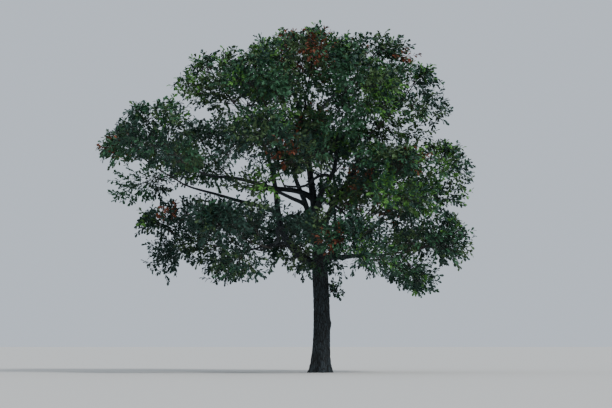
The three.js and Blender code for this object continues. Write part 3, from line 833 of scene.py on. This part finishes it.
shares = np.tile(np.linspace(0, 1, twig_rings), (len(twigs), 1))
places, faces = twig_tubes(on_twig(shares), between(twig_root, twig_end, shares), twig_sides)
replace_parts(twig_piece("twigs", places, faces), *mass_nodes)

# Fine twigs: this year's and last year's shoots, which carry the leaves. They stand round each twig by the
# golden angle and curve up. They end where their mass does, but for one in five that stands out of it, so
# the crown isn't smooth.
most_fine_twigs = 13
fine_spacing = 0.085
first_fine = 0.12
fine_angles = (1.15, 0.7)
fine_spread = 0.4
end_fine_angle = 0.15
fine_lift = 0.12
fine_by_twig = (0.25, 0.5)
fine_by_place = (1.2, 0.75)
fine_by_chance = (0.6, 1.15)
fine_room = 0.004
overshoot = 0.03
stray_share = 0.2
stray_room = 0.17
same_room = 0.001
box_room = 0.2
shortest_fine = 0.06
fine_curve = 0.1
fine_root, fine_end = 0.0032, 0.0014
fine_rings, fine_sides = 3, 3


# Fine twigs and leaves stay near the solids' own box, where a mass's space runs on past it
def near_box(points):
    low, high = np.array(cad_box)
    return ((points > low - box_room) & (points < high + box_room)).all(-1)


n = np.arange(most_fine_twigs)
share = 1 - n * fine_spacing / length[:, None]
fine_foot = on_twig(share)
fine_marks = [mark[:, None] for mark in marks] + [11, n]
turn = n * golden_angle + 2 * math.pi * chance(*marks, 12)[:, None]
opened = between(*fine_angles, share) + fine_spread * (chance(*fine_marks, 1) - 0.5)
angle = np.where(n == 0, end_fine_angle, opened)
axis = np.broadcast_to(along[:, None], fine_foot.shape)
fine_along = unit(leaning(axis, angle, turn) + up * fine_lift)
fine_length = between(*fine_by_twig, length[:, None]) * between(*fine_by_place, share)
fine_length = fine_length * between(*fine_by_chance, chance(*fine_marks, 2))
stray = np.where(chance(*fine_marks, 3) < stray_share, stray_room, 0).ravel()
started = (share > first_fine).ravel()
owner = np.repeat(np.arange(len(twigs)), most_fine_twigs)
fine_foot, fine_along, fine_length = fine_foot.reshape(-1, 3), fine_along.reshape(-1, 3), fine_length.ravel()
for mass in masses:
    own = np.flatnonzero(marks[0][owner] == mass.mark)
    room = reach_ahead(mass, fine_foot[own], fine_along[own], fine_room)
    stray[own] *= room > room_ahead(mass, fine_foot[own], fine_along[own]) - same_room
    fine_length[own] = np.minimum(fine_length[own], room + overshoot + stray[own])
fine_tip = fine_foot + fine_along * fine_length[:, None]
grown_on = started & (fine_length > shortest_fine) & near_box(fine_tip)
owner, fine_foot, fine_along, fine_length, stray = (
    a[grown_on] for a in (owner, fine_foot, fine_along, fine_length, stray)
)
fine_mark = np.arange(len(owner))


def on_fine_twig(share):
    course = fine_along[:, None] * share[..., None] + up * (fine_curve * share**2)[..., None]
    return fine_foot[:, None] + course * fine_length[:, None, None]


shares = np.tile(np.linspace(0, 1, fine_rings), (len(owner), 1))
places, faces = twig_tubes(on_fine_twig(shares), between(fine_root, fine_end, shares), fine_sides)
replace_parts(twig_piece("fine_twigs", places, faces), *mass_nodes)

# Leaves: lobed oak leaves 95 to 145 mm long, a little larger than life, set round each fine twig and
# crowded at its tip. Each is a blade of twelve faces folded along its midrib. They are dealt out to tints
# by spray.
leaves_per_fine_twig = 9
leaf_spacing = 0.039
first_leaf = 0.15
leaf_angles = (1.1, 0.45)
leaf_spread = 0.5
droop = 0.12
tilt = 1.8
leaf_length = 0.132
leaf_sizes = (0.72, 1.1)
leaf_overshoot = 0.06
leaf_outline = np.array(
    [
        (0, 0, 0),
        (0.2, 0.32, 0.05), (0.13, 0.44, 0.02), (0.33, 0.65, 0.06), (0.17, 0.74, 0), (0.23, 0.88, 0),
        (0, 1, -0.1),
        (-0.23, 0.88, 0), (-0.17, 0.74, 0), (-0.33, 0.65, 0.06), (-0.13, 0.44, 0.02), (-0.2, 0.32, 0.05),
        (0, 0.55, -0.03),
    ]
)
leaf_tip = 6
leaf_middle = len(leaf_outline) - 1
leaf_faces = np.array([(n, (n + 1) % leaf_middle, leaf_middle) for n in range(leaf_middle)])
tints = (
    ("deep_green", 0.36, "#234337", "#193028"),
    ("mid_green", 0.34, "#345f3f", "#264731"),
    ("olive_green", 0.2, "#486139", "#35492d"),
    ("bright_green", 0.08, "#598a3b", "#426c2f"),
    ("rust", 0.02, "#7a4229", "#572f1f"),
)
most_faces = 190000

slots = np.arange(leaves_per_fine_twig)
share = 1 - slots * leaf_spacing / fine_length[:, None]
root = on_fine_twig(share)
leaf_marks = [fine_mark[:, None], slots]
turn = slots * golden_angle + 2 * math.pi * chance(fine_mark, 21)[:, None]
angle = between(*leaf_angles, share) + leaf_spread * (chance(*leaf_marks, 22) - 0.5)
axis = np.broadcast_to(fine_along[:, None], root.shape)
leaf_along = unit(leaning(axis, angle, turn) - up * droop)
tilted = np.stack([chance(*leaf_marks, 30 + c) for c in range(3)], -1) - 0.5
flat = square_to(leaf_along, up + tilt * tilted)
wide = np.cross(leaf_along, flat)
size = leaf_length * between(*leaf_sizes, chance(*leaf_marks, 25))
reach = np.stack([wide, leaf_along, flat], -2) * size[..., None, None]
leaves = (root[..., None, :] + leaf_outline @ reach).reshape(-1, *leaf_outline.shape)
leaf_owner = np.repeat(owner, leaves_per_fine_twig)
fits = np.zeros(len(leaves), bool)
budded = (share > first_leaf).ravel()
leaf_ease = leaf_overshoot + np.repeat(stray, leaves_per_fine_twig)
for mass in masses:
    own = np.flatnonzero(marks[0][leaf_owner] == mass.mark)
    tips = leaves[own, leaf_tip]
    centres, radii = mass.beads
    clear = [(np.linalg.norm(centres - tip, axis=1) > radii + limb_gap).all() for tip in tips]
    fits[own] = inside_space(mass, tips, leaf_ease[own]) & near_box(tips) & np.array(clear, bool)
leaves, leaf_owner = leaves[fits & budded], leaf_owner[fits & budded]

# Each twig's spray takes one tint. More rust at the very top is the leaves' own turning colour. More bright
# green at the top and on the right is painted light where the sun falls. More deep green low down, most on
# the left and in the skirt and tuft near the trunk, is painted shade.
weights = np.tile([share for _, share, _, _ in tints], (len(twigs), 1))
fan_of = np.array([twig.mass.name.rsplit("_", 1)[0] for twig in twigs])
for fan, painted_light_and_rust_bias in {
    "crest": (0.6, 0.8, 1.2, 1, 20),
    "top": (0.3, 1.2, 1.2, 3.2, 5),
    "shoulder": (0.7, 1.2, 1, 2, 0.6),
    "side_right": (0.8, 1, 0.9, 2.3, 1.6),
    "low_right": (1.7, 1, 0.3, 0.6, 0.5),
    "side_left": (1.2, 1, 0.7, 0.6, 0.1),
    "low_left": (3, 0.7, 0.3, 0.1, 0.1),
    "skirt": (2, 0.8, 0.6, 0.3, 0.6),
    "tuft": (1.5, 1, 0.5, 0.5, 0),
}.items():
    # these multipliers raise rust at the top as the leaves' own colour, and shift the greens as painted light
    # on the top and right and painted shade low down
    weights[fan_of == fan] *= painted_light_and_rust_bias
bounds = np.cumsum(weights / weights.sum(1, keepdims=True), 1)
tint_of = (chance(*marks, 40)[:, None] > bounds).sum(1).clip(0, len(tints) - 1)


# A leaf's upper side is dull and faintly waxy, a shade lighter or darker from patch to patch of the crown
def leaf_material(name, light, dark):
    material, tree = new_material(name)
    place = add_node(tree, "ShaderNodeTexCoord").outputs["Object"]
    patches = add_node(tree, "ShaderNodeTexNoise", {"Vector": place, "Scale": 7.0, "Detail": 3.0}).outputs[0]
    tone = add_node(
        tree, "ShaderNodeValToRGB", {"Fac": patches}, colours=((0.35, dark), (0.65, light))
    ).outputs[0]
    inputs = {"Base Color": tone, "Roughness": 0.62, "Specular IOR Level": 0.35}
    shader = add_node(tree, "ShaderNodeBsdfPrincipled", inputs)
    add_node(tree, "ShaderNodeOutputMaterial", {"Surface": shader.outputs[0]})
    return material


for index, (name, _, light, dark) in enumerate(tints):
    material = leaf_material(f"{name} oak leaves", light, dark)
    chosen = np.flatnonzero(tint_of[leaf_owner] == index)
    parts = max(1, math.ceil(len(chosen) * len(leaf_faces) / most_faces))
    for number, part in enumerate(np.array_split(chosen, parts), 1):
        places = leaves[part].reshape(-1, 3)
        faces = (leaf_faces + len(leaf_outline) * np.arange(len(part))[:, None, None]).reshape(-1, 3)
        piece = piece_from(f"{name}_leaves_{number}", places, faces, smooth_faces=False)
        piece.data.materials.append(material)
        held = sorted({f"leaves_{twigs[t].mass.name}" for t in np.unique(leaf_owner[part])})
        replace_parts(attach(piece, "root"), *held)

# Floor: level, plain and pale, where the tree's ground would be
floor_side = 400
bpy.ops.mesh.primitive_plane_add(size=floor_side)
floor = bpy.context.object
floor.name = "floor"
ground_matt, tree = new_material("pale matt floor")
shader = add_node(tree, "ShaderNodeBsdfPrincipled", {"Base Color": linear("#cfcdc8"), "Roughness": 0.9})
add_node(tree, "ShaderNodeOutputMaterial", {"Surface": shader.outputs[0]})
floor.data.materials.append(ground_matt)

# Light: a pale sky all round, and one soft sun from high on the right behind the viewer
sky_strength = 0.9
sun_energy = 2.3
sun_size = 12
sun_turn = (48, 12, 35)
world = bpy.data.worlds.new("pale sky")
world.use_nodes = True
world.node_tree.nodes["Background"].inputs["Color"].default_value = linear("#d8e2ee")
world.node_tree.nodes["Background"].inputs["Strength"].default_value = sky_strength
bpy.context.scene.world = world
sun = bpy.data.objects.new("sun", bpy.data.lights.new("sun", "SUN"))
sun.data.energy = sun_energy
sun.data.angle = math.radians(sun_size)
sun.rotation_euler = [math.radians(turn) for turn in sun_turn]
bpy.context.collection.objects.link(sun)

# Camera: level with the tree's foot, far off, so the crown is seen from a little below
view_distance = 72.0
eye_height = 0.9
frame_width = 15.8
frame_centre = (-0.35, 4.35)
sensor_width = 36
eye = bpy.data.objects.new("eye", bpy.data.cameras.new("eye"))
bpy.context.collection.objects.link(eye)
eye.location = (frame_centre[0], -view_distance, eye_height)
rise = math.atan2(frame_centre[1] - eye_height, view_distance)
eye.rotation_euler = (math.pi / 2 + rise, 0, 0)
eye.data.sensor_width = sensor_width
eye.data.lens = sensor_width * view_distance / frame_width
eye.data.clip_end = 1000
bpy.context.scene.camera = eye
